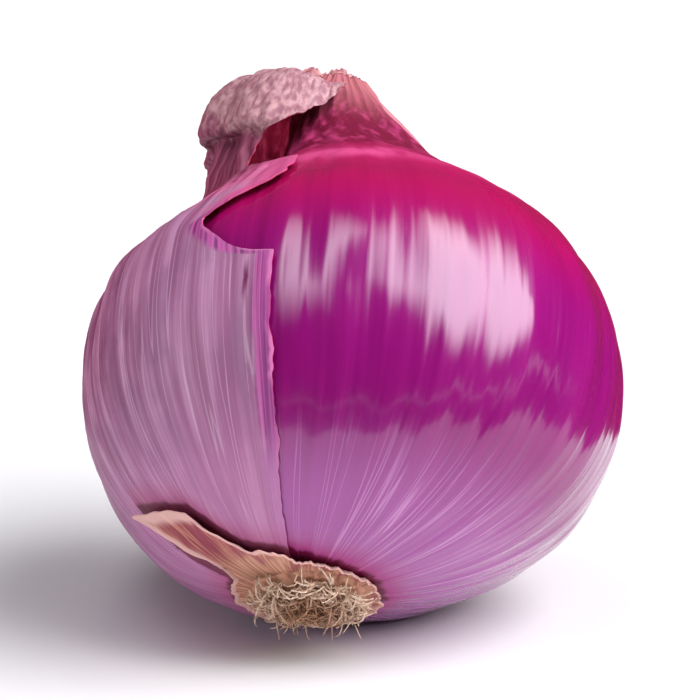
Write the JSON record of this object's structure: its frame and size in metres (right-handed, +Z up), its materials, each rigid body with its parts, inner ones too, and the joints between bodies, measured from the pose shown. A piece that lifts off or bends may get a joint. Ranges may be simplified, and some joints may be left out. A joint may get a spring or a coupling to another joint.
{
  "type": "red onion",
  "caption": "Red onion lying with its neck up and back: glossy bulb, torn dry outer skin with its own withered hood, papery root collar, curly root tuft and dried neck tips.",
  "frame": {"origin": "middle of the small flat spot that the onion rests on, at the level of the surface below it", "axes": "+Z up from the surface, -Y towards the viewer and the root end, +X to the viewer's right; the onion's own axis runs up and back to its neck"},
  "size_m": [0.0636, 0.0643, 0.062],
  "materials": {
    "glossy_skin": "gloss",
    "dry_skin": "satin",
    "papery_collar": "matte",
    "dry_roots": "matte",
    "withered_tips": "matte"
  },
  "bodies": {
    "root": {"bulb": "glossy_skin", "outer_skin": "dry_skin", "root_collar": "papery_collar", "root_tuft": "dry_roots", "neck_tips": "withered_tips"}
  },
  "joints": []
}
